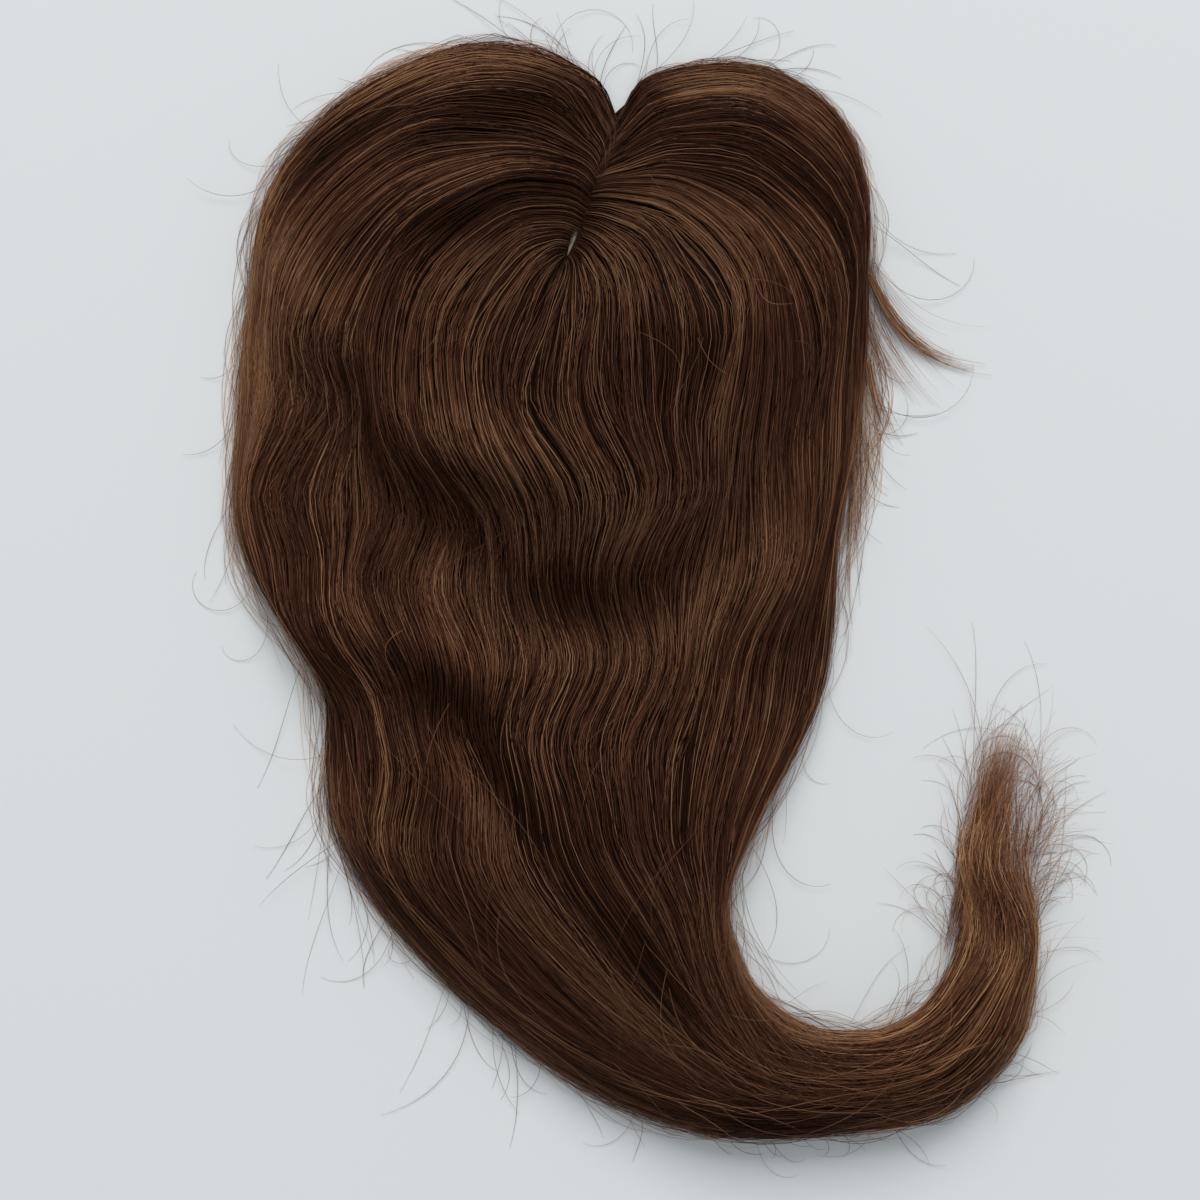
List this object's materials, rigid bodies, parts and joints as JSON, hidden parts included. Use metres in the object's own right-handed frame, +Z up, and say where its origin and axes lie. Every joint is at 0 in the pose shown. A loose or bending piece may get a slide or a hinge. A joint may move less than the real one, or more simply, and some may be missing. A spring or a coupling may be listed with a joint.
{
  "type": "hair topper",
  "caption": "Hair topper lying flat: a domed base with clips under it, long wavy brown hair parted in the middle, and a tail that curls round to one side.",
  "frame": {"origin": "on the table, under the middle of the whole piece's bounding box", "axes": "+Z up from the table, +Y towards the front hairline, +X to the side that the tail curls to"},
  "size_m": [0.251, 0.3298, 0.0281],
  "materials": {
    "hair": "satin strands",
    "base_mesh": "matt fine mesh",
    "clip": "satin"
  },
  "bodies": {
    "root": {"left_front_hair": "hair", "crown_hair": "hair", "right_front_hair": "hair", "left_length": "hair", "right_length": "hair", "tail": "hair", "tail_tuft": "hair", "base": "base_mesh", "front_clip": "clip", "left_clip": "clip", "back_clip": "clip", "right_clip": "clip"}
  },
  "joints": []
}
